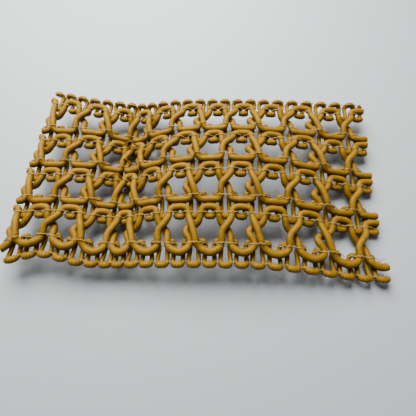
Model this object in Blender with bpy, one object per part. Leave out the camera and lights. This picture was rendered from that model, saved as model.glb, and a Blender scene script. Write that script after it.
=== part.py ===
# Gimp lace belt: a stretch of openwork braid, lying on a table in a gentle wave.
# Four rows of openings run between five narrow bands. Each row is held by two thick
# gimp cords that cross between the openings, and each band by one finer gimp cord
# that winds to and fro. Lengths are in metres, the lace runs along X, its width along Y.

import math
from collections import namedtuple

import bpy
from mathutils import Vector

# Driving dimensions
CELLS = 12                  # openings along the lace
ROWS = 4                    # rows of openings across the lace
CELL_PITCH = 0.008          # from one opening to the next along the lace
OPENING_HEIGHT = 0.0072     # height of an opening between its two lines of stitches
LAST_OPENING = 0.0084       # height of an opening in the last row, above the bottom edge
ROW_GIMP = 0.0016           # thick gimp of the crossing cords
BAND_GIMP = 0.00115         # finer gimp of the bands
TOUCH_GAP = 0.0003          # clearance kept between cords that lie on each other
SIDE_GAP = 0.0003           # clearance kept between a bar and the arch below it
ARCH_RISE = 0.0016          # how far an arch stands over the line above its opening
BAR_DROP = 0.00105          # how far a bar hangs under the line below its opening
SCALLOP_DROP = 0.0022       # how far the last row's bars hang, as open scallops
TOP_BAND = 0.0043           # height of the band along the top edge
BOTTOM_BAND = 0.0045        # height of the band along the bottom edge
LOOP_OVER = 0.0005          # how far a band cord's loops pass the band's upper line
LOOP_UNDER = 0.0012         # how far a band cord's loops pass the band's lower line
EDGE_LOOP = 0.0008          # how far they pass the outer line along the two edges

# How the stretch is cut from the pattern. left_cut: place of its left end, in cells.
# row_period, band_period: cells a route runs before it repeats. lean: how far the lace
# leans along its length, as a share of the way across it.
Layout = namedtuple("Layout", "left_cut row_period band_period lean")

LAYOUT = Layout(-1.35, 2, 0.5, 0.06)

# Sizes that follow
LENGTH = CELLS * CELL_PITCH
INNER_BAND = BAR_DROP + ROW_GIMP + SIDE_GAP + ARCH_RISE
ROW_PITCH = OPENING_HEIGHT + INNER_BAND
WIDTH = TOP_BAND + (ROWS - 1) * ROW_PITCH + LAST_OPENING + BOTTOM_BAND
LEFT_CUT = LAYOUT.left_cut
RIGHT_CUT = LEFT_CUT + CELLS
REST_HEIGHT = BAND_GIMP / 2 + TOUCH_GAP + ROW_GIMP / 2      # row cords over band cords
CROSS_HEIGHT = ROW_GIMP + TOUCH_GAP                         # front cord over back cord

# A cord's route over two cells. along: cells. across: 0 at the line below the opening,
# 1 at the line above it. swell: share of the arch's rise or, below 0, of the bar's drop.
# scallop: the same share in the last row. layer: share of the crossing's height.
RoutePoint = namedtuple("RoutePoint", "along across swell scallop layer")

FRONT_ROUTE = (
    RoutePoint(0.00, 0.56, 0.00, 0.00, 0.56),
    RoutePoint(0.23, 1.00, 0.60, 0.60, 0.10),
    RoutePoint(0.51, 1.00, 1.00, 1.00, 0.00),
    RoutePoint(0.76, 1.00, 0.75, 0.75, 0.00),
    RoutePoint(0.83, 0.82, 0.00, 0.00, 0.16),
    RoutePoint(0.91, 0.55, 0.00, 0.00, 0.56),
    RoutePoint(1.04, 0.10, 0.00, 0.00, 0.48),
    RoutePoint(1.17, 0.00, -0.80, -0.45, 0.00),
    RoutePoint(1.50, 0.00, -0.95, -1.00, 0.00),
    RoutePoint(1.80, 0.00, -0.75, -0.50, 0.00),
    RoutePoint(1.86, 0.24, 0.00, 0.00, 0.42),
)
BACK_ROUTE = (
    RoutePoint(0.13, 0.28, 0.00, 0.00, -0.22),
    RoutePoint(0.21, 0.00, -0.80, -0.45, 0.03),
    RoutePoint(0.53, 0.00, -0.95, -1.00, 0.00),
    RoutePoint(0.81, 0.00, -0.80, -0.50, 0.00),
    RoutePoint(0.86, 0.07, 0.00, 0.00, -0.06),
    RoutePoint(0.73, 0.31, 0.00, 0.00, -0.12),
    RoutePoint(0.73, 0.47, 0.00, 0.00, -0.30),
    RoutePoint(0.92, 0.58, 0.00, 0.00, -0.56),
    RoutePoint(1.06, 0.65, 0.00, 0.00, -0.40),
    RoutePoint(1.15, 0.75, 0.00, 0.00, -0.12),
    RoutePoint(1.30, 1.00, 0.80, 0.80, 0.00),
    RoutePoint(1.52, 1.00, 1.00, 1.00, 0.00),
    RoutePoint(1.72, 1.00, 0.75, 0.75, 0.00),
    RoutePoint(1.79, 0.92, 0.00, 0.00, 0.00),
    RoutePoint(1.82, 0.73, 0.00, 0.00, -0.26),
    RoutePoint(1.97, 0.56, 0.00, 0.00, -0.56),
)

# The band cord's route over half a cell. upper: 1 at its upper loops, 0 at its lower ones.
BandPoint = namedtuple("BandPoint", "along upper")

BAND_ROUTE = (
    BandPoint(-0.10, 0.0),
    BandPoint(0.10, 0.0),
    BandPoint(0.15, 1.0),
    BandPoint(0.35, 1.0),
)

# Where the lace is drawn together or pulled out along its length. along: share of the
# length from its middle. reach: share of the length. change: share of the pitch.
Gather = namedtuple("Gather", "along reach change")

GATHERS = (
    Gather(-0.20, 0.06, -0.18),
    Gather(0.28, 0.10, 0.14),
    Gather(0.45, 0.12, 0.18),
)

# The waves of the lace as it lies. along, across: place as shares of the length and the
# width. along_reach, across_reach: shares too. amount: share of the width, up in WAVES,
# towards the top edge in SLIDES and towards the right end in DRIFTS.
Wave = namedtuple("Wave", "along across along_reach across_reach amount")

WAVES = (
    Wave(0.14, 0.00, 0.25, 0.28, 0.065),
    Wave(-0.20, 0.20, 0.10, 0.30, -0.090),
    Wave(-0.20, -0.25, 0.10, 0.25, -0.065),
    Wave(0.50, -0.20, 0.20, 0.60, -0.100),
)
SLIDES = (
    Wave(0.50, -0.20, 0.20, 0.60, -0.018),
    Wave(0.50, -0.50, 0.20, 0.40, -0.045),
    Wave(-0.50, 0.50, 0.10, 0.15, 0.060),
    Wave(-0.40, -0.50, 0.08, 0.20, 0.050),
)
DRIFTS = (
    Wave(0.00, 0.00, 0.30, 0.30, -0.027),
)


def bell(place, middle, reach):
    return math.exp(-(((place - middle) / reach) ** 2))


def wave_sum(waves, along, across):
    total = 0.0
    for wave in waves:
        lengthwise = bell(along, wave.along, wave.along_reach)
        crosswise = bell(across, wave.across, wave.across_reach)
        total += wave.amount * WIDTH * lengthwise * crosswise
    return total


def surface_point(cells, width_place):
    """A point of the lace's wavy middle surface."""
    along = (cells - LEFT_CUT) / CELLS - 0.5
    across = width_place / WIDTH
    stretched = along
    for gather in GATHERS:
        step = math.erf((along - gather.along) / gather.reach) + math.erf(gather.along / gather.reach)
        stretched += gather.change * gather.reach * math.sqrt(math.pi) / 2 * step
    return Vector((
        stretched * LENGTH + LAYOUT.lean * width_place + wave_sum(DRIFTS, along, across),
        width_place + wave_sum(SLIDES, along, across),
        wave_sum(WAVES, along, across),
    ))


def lace_point(cells, width_place, height):
    """A point at a height over the wavy surface, square to it."""
    step = BAND_GIMP
    here = surface_point(cells, width_place)
    lengthwise = surface_point(cells + step / CELL_PITCH, width_place) - here
    crosswise = surface_point(cells, width_place + step) - here
    return here + lengthwise.cross(crosswise).normalized() * height


def opening_height(row):
    return LAST_OPENING if row == ROWS - 1 else OPENING_HEIGHT


def lower_line(row):
    """Place across the width of the stitches below a row of openings, row 0 at the top."""
    upper_line = WIDTH / 2 - TOP_BAND - row * ROW_PITCH
    return upper_line - opening_height(row)


def repeat_route(route, period, first, last):
    """Copies a route's points over each period from first to last, in cells."""
    points = []
    for turn in range(math.floor(first / period) - 1, math.ceil(last / period) + 1):
        for point in route:
            points.append((point.along + turn * period, point))
    return points


def trim(points, left, right):
    """Keeps the stretch of (cells, width place, height) points between the two cuts."""
    end = next(index for index, point in enumerate(points) if point.x > right)
    start = max(index for index in range(end) if points[index].x < left)
    kept = list(points[start:end + 1])
    kept[0] = kept[0].lerp(kept[1], (left - kept[0].x) / (kept[1].x - kept[0].x))
    kept[-1] = kept[-2].lerp(kept[-1], (right - kept[-2].x) / (kept[-1].x - kept[-2].x))
    return kept


def row_cord(route, row):
    """Centre line of a thick cord along one row of openings."""
    base = lower_line(row)
    last_row = row == ROWS - 1
    drop = SCALLOP_DROP if last_row else BAR_DROP
    points = []
    for cells, point in repeat_route(route, LAYOUT.row_period, LEFT_CUT, RIGHT_CUT):
        swell = point.scallop if last_row else point.swell
        width_place = base + point.across * opening_height(row)
        width_place += swell * (ARCH_RISE if swell > 0 else drop)
        points.append(Vector((cells, width_place, REST_HEIGHT + point.layer * CROSS_HEIGHT)))
    return trim(points, LEFT_CUT, RIGHT_CUT)


def band_cord(upper_line, band_height, loop_over=LOOP_OVER, loop_under=LOOP_UNDER):
    """Centre line of the finer cord that winds along one band."""
    high = upper_line + loop_over
    low = upper_line - band_height - loop_under
    points = []
    for cells, point in repeat_route(BAND_ROUTE, LAYOUT.band_period, LEFT_CUT, RIGHT_CUT):
        points.append(Vector((cells, low + point.upper * (high - low), 0.0)))
    return trim(points, LEFT_CUT, RIGHT_CUT)


def make_material(name, colour, roughness):
    material = bpy.data.materials.new(name)
    material.use_nodes = True
    shader = material.node_tree.nodes["Principled BSDF"]
    shader.inputs["Base Color"].default_value = (*colour, 1.0)
    shader.inputs["Roughness"].default_value = roughness
    shader.inputs["Metallic"].default_value = 0.0
    return material


def make_cord(name, centre_line, diameter, sides_step, material):
    """A round cord with flat cut ends, along a centre line given on the lace."""
    curve = bpy.data.curves.new(name, "CURVE")
    curve.dimensions = "3D"
    curve.bevel_depth = diameter / 2
    curve.bevel_resolution = sides_step
    curve.use_fill_caps = True
    spline = curve.splines.new("POLY")
    spline.points.add(len(centre_line) - 1)
    for spline_point, place in zip(spline.points, centre_line):
        spline_point.co = (*lace_point(place.x, place.y, place.z), 1.0)
    curve.materials.append(material)
    cord = bpy.data.objects.new(name, curve)
    bpy.context.scene.collection.objects.link(cord)
    return cord


def seat_on_table(cords):
    """Moves all cords so that the lace rests on the table with the origin under its middle."""
    bpy.context.view_layer.update()
    graph = bpy.context.evaluated_depsgraph_get()
    low = Vector((math.inf,) * 3)
    high = Vector((-math.inf,) * 3)
    for cord in cords:
        mesh = cord.evaluated_get(graph).to_mesh()
        for vertex in mesh.vertices:
            low = Vector(map(min, low, vertex.co))
            high = Vector(map(max, high, vertex.co))
    middle = (low + high) / 2
    for cord in cords:
        cord.location = (-middle.x, -middle.y, -low.z)


def build_lace():
    front = make_material("front_gimp", (0.50, 0.29, 0.055), 0.42)
    back = make_material("back_gimp", (0.46, 0.26, 0.05), 0.44)
    band = make_material("band_gimp", (0.48, 0.28, 0.055), 0.46)
    cords = []
    for row in range(ROWS):
        front_line = row_cord(FRONT_ROUTE, row)
        back_line = row_cord(BACK_ROUTE, row)
        cords.append(make_cord(f"front_gimp_{row + 1}", front_line, ROW_GIMP, 1, front))
        cords.append(make_cord(f"back_gimp_{row + 1}", back_line, ROW_GIMP, 1, back))
    top_line = band_cord(WIDTH / 2, TOP_BAND, loop_over=EDGE_LOOP)
    cords.append(make_cord("top_edge_gimp", top_line, BAND_GIMP, 0, band))
    for row in range(ROWS - 1):
        line = band_cord(lower_line(row), INNER_BAND)
        cords.append(make_cord(f"band_gimp_{row + 1}", line, BAND_GIMP, 0, band))
    bottom_line = band_cord(lower_line(ROWS - 1), BOTTOM_BAND, loop_under=EDGE_LOOP)
    cords.append(make_cord("bottom_edge_gimp", bottom_line, BAND_GIMP, 0, band))
    seat_on_table(cords)


for old_object in list(bpy.data.objects):
    bpy.data.objects.remove(old_object)

build_lace()
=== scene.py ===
# Lace belt: a stretch of openwork gimp braid lying in a gentle wave on a pale table.
# Thick gimp cords cross between four rows of openings, a finer gimp winds to and fro in the
# five bands, and fine warp threads tie them together along ten lines. Metres throughout.
import math

import bpy
import numpy as np
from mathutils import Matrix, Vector


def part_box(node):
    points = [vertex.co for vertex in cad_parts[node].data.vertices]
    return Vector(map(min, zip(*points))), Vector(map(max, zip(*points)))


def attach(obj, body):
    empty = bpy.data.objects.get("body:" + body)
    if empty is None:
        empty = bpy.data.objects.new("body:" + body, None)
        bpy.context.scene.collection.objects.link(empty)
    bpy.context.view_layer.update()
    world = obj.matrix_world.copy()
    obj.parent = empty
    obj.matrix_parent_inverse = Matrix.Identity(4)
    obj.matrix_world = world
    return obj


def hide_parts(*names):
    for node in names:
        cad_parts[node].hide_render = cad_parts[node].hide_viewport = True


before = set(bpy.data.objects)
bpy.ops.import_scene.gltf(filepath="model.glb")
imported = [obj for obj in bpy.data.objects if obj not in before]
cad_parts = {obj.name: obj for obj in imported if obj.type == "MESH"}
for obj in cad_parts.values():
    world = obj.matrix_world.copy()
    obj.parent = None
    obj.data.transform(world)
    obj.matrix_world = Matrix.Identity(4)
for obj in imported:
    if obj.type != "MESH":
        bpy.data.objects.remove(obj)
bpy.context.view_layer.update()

# The lace as a whole, as the frame has it
lace = {
    "cells": 12,              # openings along the lace
    "rows": 4,
    "cellPitch": 0.008,
    "openingHeight": 0.0072,
    "lastOpening": 0.0084,    # the row above the bottom edge is taller
    "leftCut": -1.35,         # where the pattern is cut, in cells
    "archRise": 0.0016,       # arch over its opening's upper line
    "barDrop": 0.00105,       # bar under its opening's lower line
    "scallopDrop": 0.0022,    # the same in the last row
    "topBand": 0.0043,
    "innerBand": 0.00455,
    "bottomBand": 0.0045,
    "lean": 0.06,             # to the right for each metre across
    "restHeight": 0.001675,   # row cords over band cords
    "crossHeight": 0.0019,    # front cord over back cord at a crossing
    "slopeStep": 0.00115,     # between the places that give the surface's slope
}
lace["rightCut"] = lace["leftCut"] + lace["cells"]
lace["left"] = lace["leftCut"] * lace["cellPitch"]
lace["right"] = lace["rightCut"] * lace["cellPitch"]
lace["length"] = lace["cells"] * lace["cellPitch"]
lace["rowPitch"] = lace["openingHeight"] + lace["innerBand"]
lace["width"] = (
    lace["topBand"] + (lace["rows"] - 1) * lace["rowPitch"] + lace["lastOpening"] + lace["bottomBand"]
)

# Gathers along the lace: middle, reach and change of the pitch, all shares
gathers = (
    (-0.20, 0.06, -0.18),
    (0.28, 0.10, 0.14),
    (0.45, 0.12, 0.18),
)
# Waves up from the table, slides across it and drifts along it: along, across, the two
# reaches, amount
waves = (
    (0.14, 0.00, 0.25, 0.28, 0.065),
    (-0.20, 0.20, 0.10, 0.30, -0.090),
    (-0.20, -0.25, 0.10, 0.25, -0.065),
    (0.50, -0.20, 0.20, 0.60, -0.100),
)
slides = (
    (0.50, -0.20, 0.20, 0.60, -0.018),
    (0.50, -0.50, 0.20, 0.40, -0.045),
    (-0.50, 0.50, 0.10, 0.15, 0.060),
    (-0.40, -0.50, 0.08, 0.20, 0.050),
)
drifts = (
    (0.00, 0.00, 0.30, 0.30, -0.027),
)
erf = np.vectorize(math.erf)


def bell(place, middle, reach):
    return np.exp(-(((place - middle) / reach) ** 2))


def bumps(table, along, across):
    total = np.zeros_like(along)
    for middle, crossMiddle, reach, crossReach, amount in table:
        most = amount * lace["width"]
        total += most * bell(along, middle, reach) * bell(across, crossMiddle, crossReach)
    return total


def surface(length, across):    # length: from the pattern's start, along the flat lace
    along = (length / lace["cellPitch"] - lace["leftCut"]) / lace["cells"] - 0.5
    share = across / lace["width"]
    stretched = along.copy()
    for middle, reach, change in gathers:
        step = erf((along - middle) / reach) + math.erf(middle / reach)
        stretched += change * reach * math.sqrt(math.pi) / 2 * step
    return np.stack((
        stretched * lace["length"] + lace["lean"] * across + bumps(drifts, along, share),
        across + bumps(slides, along, share),
        bumps(waves, along, share),
    ), axis=-1)


def onLace(flat):               # flat: rows of length, across and height
    step = lace["slopeStep"]
    here = surface(flat[:, 0], flat[:, 1])
    lengthwise = surface(flat[:, 0] + step, flat[:, 1]) - here
    crosswise = surface(flat[:, 0], flat[:, 1] + step) - here
    square = np.cross(lengthwise, crosswise)
    square /= np.linalg.norm(square, axis=1)[:, None]
    return here + square * flat[:, 2:3]


def upperLine(row):
    return lace["width"] / 2 - lace["topBand"] - row * lace["rowPitch"]


def openingHeight(row):
    return lace["lastOpening"] if row == lace["rows"] - 1 else lace["openingHeight"]


def lowerLine(row):
    return upperLine(row) - openingHeight(row)


stitchLines = [lace["width"] / 2]
for row in range(lace["rows"]):
    stitchLines += [upperLine(row), lowerLine(row)]
stitchLines.append(-lace["width"] / 2)


routing = {
    "gap": 0.00012,           # between the points of a smooth line
    "rowRounding": 0.00035,   # reach of the mean that rounds a thick cord's corners
    "bandRounding": 0.00025,  # and a fine cord's
}


def smooth(points, gap):        # a curve through the points, with its own points a gap apart
    curve = []
    for before, start, end, after in zip(points, points[1:], points[2:], points[3:]):
        knots = np.cumsum([0.0] + [
            max(math.sqrt(np.linalg.norm(two - one)), 1e-6)
            for one, two in ((before, start), (start, end), (end, after))
        ])
        count = max(2, round(np.linalg.norm(end - start) / gap))
        t = np.linspace(knots[1], knots[2], count, endpoint=False)[:, None]

        def blend(one, two, low, high):
            return one + (two - one) * (t - low) / (high - low)

        first = blend(before, start, knots[0], knots[1])
        middle = blend(start, end, knots[1], knots[2])
        last = blend(end, after, knots[2], knots[3])
        left = blend(first, middle, knots[0], knots[2])
        right = blend(middle, last, knots[1], knots[3])
        curve.append(blend(left, right, knots[1], knots[2]))
    return np.vstack(curve)


def soften(line, reach):        # rounds corners by a running mean
    steps = np.linalg.norm(np.diff(line, axis=0), axis=1)
    width = max(1, round(reach / steps.mean()))
    weights = np.hanning(2 * width + 3)[1:-1]
    weights /= weights.sum()
    before, after = (np.repeat(end, width, axis=0) for end in (line[:1], line[-1:]))
    padded = np.vstack((before, line, after))
    return np.stack([np.convolve(padded[:, axis], weights, "valid") for axis in range(3)], axis=-1)


def cutToLength(line):
    left, right = lace["left"], lace["right"]
    end = np.nonzero(line[:, 0] > right)[0][0]
    start = np.nonzero(line[:end, 0] < left)[0][-1]
    kept = line[start:end + 1].copy()
    kept[0] += (kept[1] - kept[0]) * (left - kept[0, 0]) / (kept[1, 0] - kept[0, 0])
    kept[-1] = kept[-2] + (kept[-1] - kept[-2]) * (right - kept[-2, 0]) / (kept[-1, 0] - kept[-2, 0])
    return kept


def repeated(table, period):
    first = math.floor(lace["leftCut"] / period) - 2
    last = math.ceil(lace["rightCut"] / period) + 2
    return [(turn * period + entry[0], *entry[1:]) for turn in range(first, last) for entry in table]


# A thick cord's route over two cells: along in cells, across from the line below (0) to the
# line above (1), swell as a share of arch or bar, the same in the last row, layer over or
# under the other cord
frontRoute = (
    (0.00, 0.56, 0.00, 0.00, 0.56),
    (0.10, 0.70, 0.00, 0.00, 0.50),
    (0.165, 0.83, 0.00, 0.00, 0.34),
    (0.185, 0.95, 0.00, 0.00, 0.20),
    (0.20, 1.00, 0.25, 0.25, 0.12),
    (0.26, 1.00, 0.74, 0.74, 0.03),
    (0.37, 1.00, 0.95, 0.95, 0.00),
    (0.51, 1.00, 1.01, 1.01, 0.00),
    (0.65, 1.00, 0.96, 0.96, 0.00),
    (0.75, 1.00, 0.76, 0.76, 0.00),
    (0.80, 1.00, 0.10, 0.10, 0.06),
    (0.825, 0.85, 0.00, 0.00, 0.18),
    (0.87, 0.68, 0.00, 0.00, 0.42),
    (0.93, 0.49, 0.00, 0.00, 0.56),
    (0.99, 0.28, 0.00, 0.00, 0.54),
    (1.04, 0.09, 0.00, 0.00, 0.46),
    (1.07, 0.00, -0.15, -0.05, 0.32),
    (1.11, 0.00, -0.50, -0.22, 0.16),
    (1.20, 0.00, -0.86, -0.52, 0.00),
    (1.32, 0.00, -0.96, -0.84, 0.00),
    (1.50, 0.00, -0.97, -1.02, 0.00),
    (1.68, 0.00, -0.92, -0.84, 0.00),
    (1.79, 0.00, -0.78, -0.52, 0.00),
    (1.85, 0.00, -0.40, -0.16, 0.08),
    (1.865, 0.08, 0.00, 0.00, 0.26),
    (1.86, 0.28, 0.00, 0.00, 0.46),
    (1.905, 0.43, 0.00, 0.00, 0.54),
)
backRoute = (
    (0.08, 0.43, 0.00, 0.00, -0.42),
    (0.125, 0.28, 0.00, 0.00, -0.20),
    (0.145, 0.12, 0.00, 0.00, -0.06),
    (0.155, 0.00, -0.15, -0.05, 0.00),
    (0.20, 0.00, -0.70, -0.40, 0.03),
    (0.27, 0.00, -0.88, -0.66, 0.00),
    (0.38, 0.00, -0.96, -0.88, 0.00),
    (0.53, 0.00, -0.97, -1.02, 0.00),
    (0.68, 0.00, -0.92, -0.86, 0.00),
    (0.78, 0.00, -0.82, -0.56, 0.00),
    (0.85, 0.00, -0.48, -0.20, 0.00),
    (0.87, 0.05, 0.00, 0.00, -0.06),
    (0.83, 0.17, 0.00, 0.00, -0.08),
    (0.75, 0.29, 0.00, 0.00, -0.12),
    (0.715, 0.40, 0.00, 0.00, -0.20),
    (0.77, 0.51, 0.00, 0.00, -0.36),
    (0.86, 0.57, 0.00, 0.00, -0.54),
    (0.96, 0.60, 0.00, 0.00, -0.54),
    (1.05, 0.65, 0.00, 0.00, -0.40),
    (1.14, 0.75, 0.00, 0.00, -0.15),
    (1.19, 0.90, 0.00, 0.00, -0.04),
    (1.23, 1.00, 0.30, 0.30, 0.00),
    (1.30, 1.00, 0.80, 0.80, 0.00),
    (1.40, 1.00, 0.96, 0.96, 0.00),
    (1.52, 1.00, 1.01, 1.01, 0.00),
    (1.64, 1.00, 0.95, 0.95, 0.00),
    (1.73, 1.00, 0.72, 0.72, 0.00),
    (1.77, 1.00, 0.15, 0.15, 0.00),
    (1.79, 0.90, 0.00, 0.00, -0.03),
    (1.83, 0.74, 0.00, 0.00, -0.24),
    (1.90, 0.63, 0.00, 0.00, -0.46),
    (1.98, 0.555, 0.00, 0.00, -0.57),
)
# The finer cord's route over half a cell: along, and 1 at the upper loops, 0 at the lower
bandRoute = (
    (-0.075, 0.00),
    (0.075, 0.00),
    (0.120, 0.10),
    (0.130, 0.30),
    (0.130, 0.70),
    (0.140, 0.88),
    (0.19, 1.00),
    (0.31, 1.00),
    (0.36, 0.88),
    (0.370, 0.70),
    (0.370, 0.30),
    (0.380, 0.10),
)
# The same for the two edge bands, whose outer loops are wide
edgeRoute = (
    (-0.075, 0.00),
    (0.075, 0.00),
    (0.145, 0.09),
    (0.160, 0.24),
    (0.140, 0.55),
    (0.140, 0.85),
    (0.190, 1.00),
    (0.310, 1.00),
    (0.360, 0.85),
    (0.360, 0.55),
    (0.340, 0.24),
    (0.355, 0.09),
)
loops = {
    "over": 0.0008,           # past the line above a band
    "under": 0.0008,          # past the line below it
    "turnShading": 0.0009,           # how far they stand up past the bars and arches
    "topEdge": 0.0002,        # past the outermost lines
    "bottomEdge": 0.0008,
    "liftPower": 6,           # keeps the lift to the loops themselves
}


def rowCord(route, row):
    last = row == lace["rows"] - 1
    drop = lace["scallopDrop"] if last else lace["barDrop"]
    points = []
    for cells, across, swell, scallop, layer in repeated(route, 2):
        share = scallop if last else swell
        place = lowerLine(row) + across * openingHeight(row)
        place += share * (lace["archRise"] if share > 0 else drop)
        height = lace["restHeight"] + layer * lace["crossHeight"]
        points.append(np.array((cells * lace["cellPitch"], place, height)))
    return cutToLength(soften(smooth(points, routing["gap"]), routing["rowRounding"]))


def bandCord(band):             # 0 is the band at the top edge
    high = stitchLines[2 * band] + (loops["topEdge"] if band == 0 else loops["over"])
    low = stitchLines[2 * band + 1] - (loops["bottomEdge"] if band == lace["rows"] else loops["under"])
    route = bandRoute
    if band == lace["rows"]:
        route = edgeRoute
    elif band == 0:
        route = [(0.25 - cells, 1 - upper) for cells, upper in reversed(edgeRoute)]
    points = []
    for cells, upper in repeated(route, 0.5):
        height = loops["turnShading"] * (2 * upper - 1) ** loops["liftPower"]
        points.append(np.array((cells * lace["cellPitch"], low + upper * (high - low), height)))
    return cutToLength(soften(smooth(points, routing["gap"]), routing["bandRounding"]))


def namedSocket(tree, name, kind, value=None):
    socket = tree.interface.new_socket(name, in_out="INPUT", socket_type=kind)
    if value is not None:
        socket.default_value = value
    return socket.identifier


def addNode(tree, kind, **settings):
    node = tree.nodes.new(kind)
    for key, value in settings.items():
        setattr(node, key, value)
    return node


def arithmetic(tree, operation, first, second=None, third=None):
    node = addNode(tree, "ShaderNodeMath", operation=operation)
    for socket, value in zip(node.inputs, (first, second, third)):
        if isinstance(value, (int, float)):
            socket.default_value = value
        elif value is not None:
            tree.links.new(value, socket)
    return node.outputs[0]


def keepValue(tree, geometry, name, value):    # on every point, under a name
    keep = addNode(tree, "GeometryNodeStoreNamedAttribute", data_type="FLOAT", domain="POINT")
    keep.inputs["Name"].default_value = name
    tree.links.new(geometry, keep.inputs["Geometry"])
    tree.links.new(value, keep.inputs["Value"])
    return keep.outputs[0]


def keptValue(tree, name):
    kept = addNode(tree, "GeometryNodeInputNamedAttribute", data_type="FLOAT")
    kept.inputs["Name"].default_value = name
    return kept.outputs[0]


def wrappedCordTree():          # a curve becomes a cord wrapped in fine turns of floss
    tree = bpy.data.node_groups.new("wrappedCord", "GeometryNodeTree")
    tree.is_modifier = True
    tree.interface.new_socket("Geometry", in_out="INPUT", socket_type="NodeSocketGeometry")
    tree.interface.new_socket("Geometry", in_out="OUTPUT", socket_type="NodeSocketGeometry")
    sockets = {
        "sides": namedSocket(tree, "Sides", "NodeSocketInt", 10),
        "turnPitch": namedSocket(tree, "Turn Pitch", "NodeSocketFloat", 0.0003),
        "ringGap": namedSocket(tree, "Ring Gap", "NodeSocketFloat", 0.0001),
        "turnDepth": namedSocket(tree, "Turn Depth", "NodeSocketFloat", 0.00003),
        "starts": namedSocket(tree, "Starts", "NodeSocketFloat", 1.0),
        "lump": namedSocket(tree, "Lump", "NodeSocketFloat", 0.00005),
        "lumpSize": namedSocket(tree, "Lump Size", "NodeSocketFloat", 0.003),
        "finish": namedSocket(tree, "Finish", "NodeSocketMaterial"),
    }
    given = addNode(tree, "NodeGroupInput").outputs
    resample = addNode(tree, "GeometryNodeResampleCurve", mode="LENGTH")
    tree.links.new(given["Geometry"], resample.inputs["Curve"])
    tree.links.new(given["Ring Gap"], resample.inputs["Length"])
    along = addNode(tree, "GeometryNodeSplineParameter")
    line = keepValue(tree, resample.outputs[0], "alongCord", along.outputs["Length"])

    circle = addNode(tree, "GeometryNodeCurvePrimitiveCircle", mode="RADIUS")
    circle.inputs["Radius"].default_value = 1.0
    tree.links.new(given["Sides"], circle.inputs["Resolution"])
    around = addNode(tree, "GeometryNodeSplineParameter")
    profile = keepValue(tree, circle.outputs[0], "aroundCord", around.outputs["Factor"])

    tube = addNode(tree, "GeometryNodeCurveToMesh")
    radius = addNode(tree, "GeometryNodeInputRadius")
    tree.links.new(line, tube.inputs["Curve"])
    tree.links.new(profile, tube.inputs["Profile Curve"])
    tree.links.new(radius.outputs[0], tube.inputs["Scale"])
    tube.inputs["Fill Caps"].default_value = True

    turns = arithmetic(tree, "DIVIDE", keptValue(tree, "alongCord"), given["Turn Pitch"])
    phase = arithmetic(tree, "MULTIPLY_ADD", keptValue(tree, "aroundCord"), given["Starts"], turns)
    ridge = arithmetic(tree, "COSINE", arithmetic(tree, "MULTIPLY", phase, 2 * math.pi))

    noise = addNode(tree, "ShaderNodeTexNoise", noise_dimensions="3D")
    noise.inputs["Detail"].default_value = 1.0
    tree.links.new(arithmetic(tree, "DIVIDE", 1.0, given["Lump Size"]), noise.inputs["Scale"])
    lump = arithmetic(tree, "MULTIPLY", arithmetic(tree, "SUBTRACT", noise.outputs[0], 0.5), given["Lump"])
    rise = arithmetic(tree, "MULTIPLY_ADD", ridge, given["Turn Depth"], lump)
    normal = addNode(tree, "GeometryNodeInputNormal")
    push = addNode(tree, "ShaderNodeVectorMath", operation="SCALE")
    tree.links.new(normal.outputs[0], push.inputs[0])
    tree.links.new(rise, push.inputs["Scale"])
    move = addNode(tree, "GeometryNodeSetPosition")
    tree.links.new(tube.outputs[0], move.inputs["Geometry"])
    tree.links.new(push.outputs[0], move.inputs["Offset"])

    # how far each face looks up, kept for the painted shade on the cords' flanks
    upwardForShade = addNode(tree, "ShaderNodeSeparateXYZ")
    tree.links.new(normal.outputs[0], upwardForShade.inputs[0])
    cord = keepValue(tree, move.outputs[0], "upwardForShade", upwardForShade.outputs[2])
    cord = keepValue(tree, cord, "ridge", ridge)
    shade = addNode(tree, "GeometryNodeSetShadeSmooth")
    tree.links.new(cord, shade.inputs["Geometry"])
    realize = addNode(tree, "GeometryNodeRealizeInstances")
    tree.links.new(shade.outputs[0], realize.inputs[0])
    finish = addNode(tree, "GeometryNodeSetMaterial")
    tree.links.new(realize.outputs[0], finish.inputs["Geometry"])
    tree.links.new(given["Finish"], finish.inputs["Material"])
    out = addNode(tree, "NodeGroupOutput")
    tree.links.new(finish.outputs[0], out.inputs[0])
    return tree, sockets


cordTree, cordSockets = wrappedCordTree()
overTable = 1.12                # radii that a cord's middle keeps over the table, so that none sinks in


def makeCord(name, lines, settings, finish):   # lines: pairs of places and radii
    data = bpy.data.curves.new(name + "Path", "CURVE")
    data.dimensions = "3D"
    for places, radii in lines:
        places[:, 2] = np.maximum(places[:, 2], radii * overTable)
        spline = data.splines.new("POLY")
        spline.points.add(len(places) - 1)
        spline.points.foreach_set("co", np.hstack((places, np.ones((len(places), 1)))).ravel())
        spline.points.foreach_set("radius", radii)
    path = bpy.data.objects.new(name + "Path", data)
    bpy.context.scene.collection.objects.link(path)
    wrap = path.modifiers.new("wrap", "NODES")
    wrap.node_group = cordTree
    for key, value in settings.items():
        if key in cordSockets:
            wrap[cordSockets[key]] = value
    wrap[cordSockets["finish"]] = finish
    graph = bpy.context.evaluated_depsgraph_get()
    mesh = bpy.data.meshes.new_from_object(path.evaluated_get(graph), depsgraph=graph)
    mesh.name = name
    bpy.data.objects.remove(path)
    piece = bpy.data.objects.new(name, mesh)
    bpy.context.scene.collection.objects.link(piece)
    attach(piece, "root")
    return piece


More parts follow.
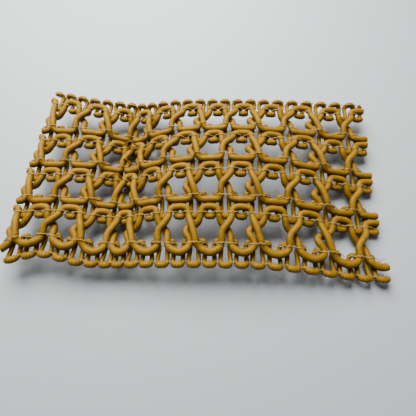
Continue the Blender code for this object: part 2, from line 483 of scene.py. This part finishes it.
silkLook = {
    "flossScale": 500.0,      # strands across the cord, for each metre
    "flossRun": 16000.0,      # and along it, where they are much closer
    "flossDetail": 2.0,
    "patchScale": 650.0,      # uneven dye and wear
    "patchDetail": 4.0,
    # The next two set the painted light and shade of the wrapping: darker in the grooves, paler on the
    # crests
    "grooveShadeShare": 0.28,       # share of the crest's colour with no ridge and no floss; the painted shade of the groove colour makes up the rest
    "ridgeShadeShare": 0.26,
    "flossTone": 0.50,
    "wornTone": 0.57,
    "patchTone": 0.9,
    "paintedShadeTop": 0.85,         # how far a face looks up where the painted shade on the cords' flanks ends
    # the darkest share of that painted shade, where a face looks sideways or down
    "paintedShadeTone": 0.38,
    "roughSpread": 0.2,
    "bumpStrength": 0.35,
    "bumpDepth": 0.00005,
    "specular": 0.4,
    "glint": (1.0, 0.66, 0.16, 1.0),
}


def silk(name, crest, shadedGroove, roughness):      # wrapped rayon: painted shade darkens the grooves between the turns, and the turns' crests stay pale
    material = bpy.data.materials.new(name)
    material.use_nodes = True
    tree = material.node_tree
    shader = tree.nodes["Principled BSDF"]
    where = addNode(tree, "ShaderNodeTexCoord")
    along = addNode(tree, "ShaderNodeAttribute", attribute_name="alongCord")
    ridge = addNode(tree, "ShaderNodeAttribute", attribute_name="ridge")

    fine = addNode(tree, "ShaderNodeVectorMath", operation="SCALE")
    fine.inputs["Scale"].default_value = silkLook["flossScale"]
    tree.links.new(where.outputs["Object"], fine.inputs[0])
    shift = addNode(tree, "ShaderNodeCombineXYZ")
    run = arithmetic(tree, "MULTIPLY", along.outputs["Fac"], silkLook["flossRun"])
    tree.links.new(run, shift.inputs[0])
    strands = addNode(tree, "ShaderNodeVectorMath", operation="ADD")
    tree.links.new(fine.outputs[0], strands.inputs[0])
    tree.links.new(shift.outputs[0], strands.inputs[1])
    floss = addNode(tree, "ShaderNodeTexNoise")
    floss.inputs["Scale"].default_value = 1.0
    floss.inputs["Detail"].default_value = silkLook["flossDetail"]
    tree.links.new(strands.outputs[0], floss.inputs["Vector"])

    patches = addNode(tree, "ShaderNodeTexNoise")
    patches.inputs["Scale"].default_value = silkLook["patchScale"]
    patches.inputs["Detail"].default_value = silkLook["patchDetail"]
    tree.links.new(where.outputs["Object"], patches.inputs["Vector"])

    # painted shade along the turns: dark in the grooves, pale on the crests, with the floss streaks mixed
    # in
    ridgeShadeShare, grooveShadeShare = silkLook["ridgeShadeShare"], silkLook["grooveShadeShare"]
    turnShading = arithmetic(tree, "MULTIPLY_ADD", ridge.outputs["Fac"], ridgeShadeShare, grooveShadeShare)
    mixed = arithmetic(tree, "MULTIPLY_ADD", floss.outputs[0], silkLook["flossTone"], turnShading)
    tone = addNode(tree, "ShaderNodeMix", data_type="RGBA", clamp_factor=True)
    tone.inputs["A"].default_value = (*shadedGroove, 1.0)
    tone.inputs["B"].default_value = (*crest, 1.0)
    tree.links.new(mixed, tone.inputs["Factor"])
    vary = addNode(tree, "ShaderNodeHueSaturation")
    tree.links.new(tone.outputs["Result"], vary.inputs["Color"])
    upwardForShade = addNode(tree, "ShaderNodeAttribute", attribute_name="upwardForShade")
    patchTone, wornTone = silkLook["patchTone"], silkLook["wornTone"]
    worn = arithmetic(tree, "MULTIPLY_ADD", patches.outputs[0], patchTone, wornTone)
    paintedFlankShade = addNode(tree, "ShaderNodeMapRange", clamp=True)      # painted shade: the cords' flanks are darker the less they face up
    paintedFlankShade.inputs["From Max"].default_value = silkLook["paintedShadeTop"]
    paintedFlankShade.inputs["To Min"].default_value = silkLook["paintedShadeTone"]
    tree.links.new(upwardForShade.outputs["Fac"], paintedFlankShade.inputs["Value"])
    tree.links.new(arithmetic(tree, "MULTIPLY", worn, paintedFlankShade.outputs[0]), vary.inputs["Value"])
    tree.links.new(vary.outputs[0], shader.inputs["Base Color"])
    spread = silkLook["roughSpread"]
    rough = arithmetic(tree, "MULTIPLY_ADD", patches.outputs[0], spread, roughness - spread / 2)
    tree.links.new(rough, shader.inputs["Roughness"])
    bump = addNode(tree, "ShaderNodeBump")
    bump.inputs["Strength"].default_value = silkLook["bumpStrength"]
    bump.inputs["Distance"].default_value = silkLook["bumpDepth"]
    tree.links.new(floss.outputs[0], bump.inputs["Height"])
    tree.links.new(bump.outputs[0], shader.inputs["Normal"])
    shader.inputs["Specular IOR Level"].default_value = silkLook["specular"]
    shader.inputs["Specular Tint"].default_value = silkLook["glint"]
    return material


# Where the wavy surface stands in the frame: the frame's cords against the same cords here
bandNodes = ["top_edge_gimp", "band_gimp_1", "band_gimp_2", "band_gimp_3", "bottom_edge_gimp"]
rowLines = {}
bandLines = []
for row in range(lace["rows"]):
    rowLines["front", row] = rowCord(frontRoute, row)
    rowLines["back", row] = rowCord(backRoute, row)
for band in range(lace["rows"] + 1):
    bandLines.append(bandCord(band))
frameNodes = {}
for (side, row), line in rowLines.items():
    frameNodes[f"{side}_gimp_{row + 1}"] = line
for node, line in zip(bandNodes, bandLines):
    frameNodes[node] = line
moves = []
for node, line in frameNodes.items():
    low, high = (Vector(corner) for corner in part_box(node))
    places = onLace(line)
    moves.append(np.array((low + high) / 2) - (places.min(axis=0) + places.max(axis=0)) / 2)
seat = np.mean(moves, axis=0)
print("seat", [round(float(value) * 1000, 2) for value in seat], "mm")


fullness = {
    "scallopPast": 0.0008,    # a scallop is full from this far past its stitch line
    "scallopBlend": 0.0003,
    "loopPast": 0.0008,       # a fine cord is full within this of its loops' tips
    "loopBlend": 0.00018,
}


def pinched(line, cord):        # a stitch draws the cord in a little, a leg is tighter than a loop
    away = np.min([np.abs(line[:, 1] - place) for place in stitchLines], axis=0)
    slope = np.abs(np.gradient(line[:, 1])) / np.linalg.norm(np.gradient(line[:, :2], axis=0), axis=1)
    tight = 1 - cord["legThinner"] * slope**2
    over = line[:, 1] - stitchLines[-2]
    hanging = 1 / (1 + np.exp((over + fullness["scallopPast"]) / fullness["scallopBlend"]))
    full = 1 + cord["scallopFuller"] * hanging
    pinch = 1 - cord["pinch"] * np.exp(-((away / cord["pinchReach"]) ** 2))
    return cord["radius"] * tight * full * pinch


def atTips(away):               # about 1 at the loops' tips, and large away from them
    return 1 + np.exp((away - fullness["loopPast"]) / fullness["loopBlend"])


def rounded(line, band):        # the fine cord is fullest in its lower loops, and at the top edge
    across = line[:, 1]
    fuller = 1 + bandGimp["loopFuller"] / atTips(across - across.min())
    if band == 0:
        fuller += bandGimp["edgeFuller"] / atTips(across.max() - across)
    return fuller


frontGimp = {
    "radius": 0.00097,
    "sides": 12,
    "turnPitch": 0.00052,     # between turns of the wrapping
    "ringGap": 0.0001,
    "turnDepth": 0.000040,
    "starts": 3.0,            # strands of floss side by side
    "lump": 0.00016,
    "lumpSize": 0.0022,
    "pinch": 0.10,
    "pinchReach": 0.0006,
    "legThinner": 0.06,
    "scallopFuller": 0.09,
}
frontSilk = silk("frontSilk", (0.42, 0.218, 0.010), (0.075, 0.031, 0.001), 0.50)
for row in range(lace["rows"]):
    line = rowLines["front", row]
    radii = pinched(line, frontGimp)
    piece = makeCord(f"frontCord{row + 1}", [(onLace(line) + seat, radii)], frontGimp, frontSilk)
    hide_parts(f"front_gimp_{row + 1}")
print("front cords made")

backGimp = dict(frontGimp)
backSilk = silk("backSilk", (0.40, 0.206, 0.010), (0.070, 0.029, 0.001), 0.52)
for row in range(lace["rows"]):
    line = rowLines["back", row]
    radii = pinched(line, backGimp)
    piece = makeCord(f"backCord{row + 1}", [(onLace(line) + seat, radii)], backGimp, backSilk)
    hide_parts(f"back_gimp_{row + 1}")
print("back cords made")

bandGimp = {
    "radius": 0.00066,
    "sides": 10,
    "turnPitch": 0.00048,
    "ringGap": 0.000105,
    "turnDepth": 0.000034,
    "starts": 2.0,
    "lump": 0.00010,
    "lumpSize": 0.0016,
    "pinch": 0.08,
    "pinchReach": 0.0004,
    "legThinner": 0.06,
    "loopFuller": 0.40,
    "edgeFuller": 0.30,
    "scallopFuller": 0.0,
}
bandSilk = silk("bandSilk", (0.40, 0.206, 0.010), (0.070, 0.029, 0.001), 0.52)
for band, node in enumerate(bandNodes):
    line = bandLines[band]
    radii = pinched(line, bandGimp) * rounded(line, band)
    piece = makeCord(f"bandCord{band + 1}", [(onLace(line) + seat, radii)], bandGimp, bandSilk)
    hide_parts(node)
print("band cords made")

warpThread = {
    "radius": 0.0001,
    "sides": 5,
    "turnPitch": 0.0005,
    "ringGap": 0.00016,
    "turnDepth": 0.00002,
    "starts": 1.0,
    "lump": 0.00005,
    "lumpSize": 0.001,
    "stitch": 0.0011,         # length of one stitch
    "sway": 0.00016,          # how far a stitch swings to each side of its line
    "sag": 350.0,             # how fast the thread dips between cords, per metre
    "between": 0.0001,        # height over the band cords' middle where nothing carries it
    "step": 0.0001,           # between a thread's points
    "sagSteps": 40,           # steps over which it comes down from a cord
    "seating": 0.7,           # radii from what it lies on to its own middle
    "rounding": 0.00025,
    "overTable": 1.3,         # radii
}
threadSilk = silk("threadSilk", (0.72, 0.50, 0.17), (0.40, 0.23, 0.045), 0.24)


def drape(place, side):         # height of a thread laid over (1) or under (-1) the cords
    steps = np.arange(lace["left"], lace["right"], warpThread["step"])
    height = np.full(len(steps), warpThread["between"] * side)
    radii = [frontGimp["radius"]] * (2 * lace["rows"]) + [bandGimp["radius"]] * (lace["rows"] + 1)
    for line, radius in zip([*rowLines.values(), *bandLines], radii):
        near = line[np.abs(line[:, 1] - place) < radius]
        for x, y, z in near:
            first, last = np.searchsorted(steps, (x - radius, x + radius))
            inside = radius**2 - (steps[first:last] - x) ** 2 - (y - place) ** 2
            reached = side * z + np.sqrt(np.maximum(inside, 0.0)) * (inside > 0) - (inside <= 0)
            height[first:last] = np.maximum(height[first:last], reached)
    lifted = height.copy()
    for offset in range(-warpThread["sagSteps"], warpThread["sagSteps"] + 1):
        drop = warpThread["sag"] * (offset * warpThread["step"]) ** 2
        lifted = np.maximum(lifted, np.roll(height, offset) - drop)
    return steps, side * (lifted + warpThread["radius"] * warpThread["seating"])


for number, place in enumerate(stitchLines):
    lines = []
    for side in (1, -1):
        steps, height = drape(place, side)
        sway = side * warpThread["sway"] * np.sin(2 * math.pi * steps / warpThread["stitch"] + number)
        line = soften(np.stack((steps, place + sway, height), axis=-1), warpThread["rounding"])
        places = onLace(line) + seat
        places[:, 2] = np.maximum(places[:, 2], warpThread["radius"] * warpThread["overTable"])
        lines.append((places, np.full(len(line), warpThread["radius"])))
    piece = makeCord(f"warpThread{number + 1}", lines, warpThread, threadSilk)
print("warp threads made")

# Loose pulls in the dent: cells where each begins and ends, place across, height in the middle
pulls = (
    (1.55, 2.75, upperLine(1) + 0.0012, 0.0046),
    (1.80, 2.95, upperLine(1) - 0.0006, 0.0042),
    (1.35, 2.30, upperLine(2) + 0.0004, 0.0044),
    (1.60, 2.60, lowerLine(1) + 0.0016, 0.0040),
)
pullThread = dict(warpThread, radius=0.00024, lump=0.0001, points=60, bow=0.0005, halfTurns=1.5)
lines = []
for start, end, place, height in pulls:
    share = np.linspace(0.0, 1.0, pullThread["points"])
    length = (start + (end - start) * share) * lace["cellPitch"]
    across = place + pullThread["bow"] * np.sin(math.pi * pullThread["halfTurns"] * share)
    rise = lace["restHeight"] + (height - lace["restHeight"]) * np.sin(math.pi * share)
    places = onLace(np.stack((length, across, rise), axis=-1)) + seat
    lines.append((places, np.full(len(places), pullThread["radius"])))
piece = makeCord("loosePulls", lines, pullThread, bandSilk)
print("loose pulls made")


def plainMaterial(name, colour, roughness):
    material = bpy.data.materials.new(name)
    material.use_nodes = True
    shader = material.node_tree.nodes["Principled BSDF"]
    shader.inputs["Base Color"].default_value = (*colour, 1.0)
    shader.inputs["Roughness"].default_value = roughness
    return material


table = {"size": 1.6, "colour": (0.54, 0.565, 0.58), "roughness": 0.6}
half = table["size"] / 2
floorMesh = bpy.data.meshes.new("table")
corners = [(-half, -half, 0), (half, -half, 0), (half, half, 0), (-half, half, 0)]
floorMesh.from_pydata(corners, [], [(0, 1, 2, 3)])
floorMesh.materials.append(plainMaterial("tableTop", table["colour"], table["roughness"]))
floor = bpy.data.objects.new("table", floorMesh)
bpy.context.scene.collection.objects.link(floor)

studio = {
    "key": {"place": (-0.04, 0.13, 0.17), "size": 0.20, "power": 1.7},
    "fill": {"place": (0.10, -0.35, 0.35), "size": 0.50, "power": 0.1},
    "sky": 0.08,
    "skyColour": (0.9, 0.95, 1.0, 1.0),
}
for name in ("key", "fill"):
    lamp = bpy.data.lights.new(name, "AREA")
    lamp.energy = studio[name]["power"]
    lamp.size = studio[name]["size"]
    holder = bpy.data.objects.new(name, lamp)
    holder.location = studio[name]["place"]
    holder.rotation_euler = (-Vector(studio[name]["place"])).to_track_quat("-Z", "Y").to_euler()
    bpy.context.scene.collection.objects.link(holder)
world = bpy.data.worlds.new("studio")
world.use_nodes = True
sky = world.node_tree.nodes["Background"]
sky.inputs["Color"].default_value = studio["skyColour"]
sky.inputs["Strength"].default_value = studio["sky"]
bpy.context.scene.world = world

view = {
    "lens": 27.0,             # both in millimetres
    "sensor": 36.0,
    "nearest": 0.01,
    "rise": 64.8,             # degrees over the table
    "distance": 0.0856,
    "target": (0.0048, -0.0110, 0.0),
}
cameraData = bpy.data.cameras.new("view")
cameraData.lens = view["lens"]
cameraData.sensor_width = view["sensor"]
cameraData.clip_start = view["nearest"]
camera = bpy.data.objects.new("view", cameraData)
rise = math.radians(view["rise"])
target = Vector(view["target"]) + Vector(seat)
camera.location = target + view["distance"] * Vector((0.0, -math.cos(rise), math.sin(rise)))
camera.rotation_euler = (math.pi / 2 - rise, 0.0, 0.0)
bpy.context.scene.collection.objects.link(camera)
bpy.context.scene.camera = camera

bpy.context.view_layer.update()
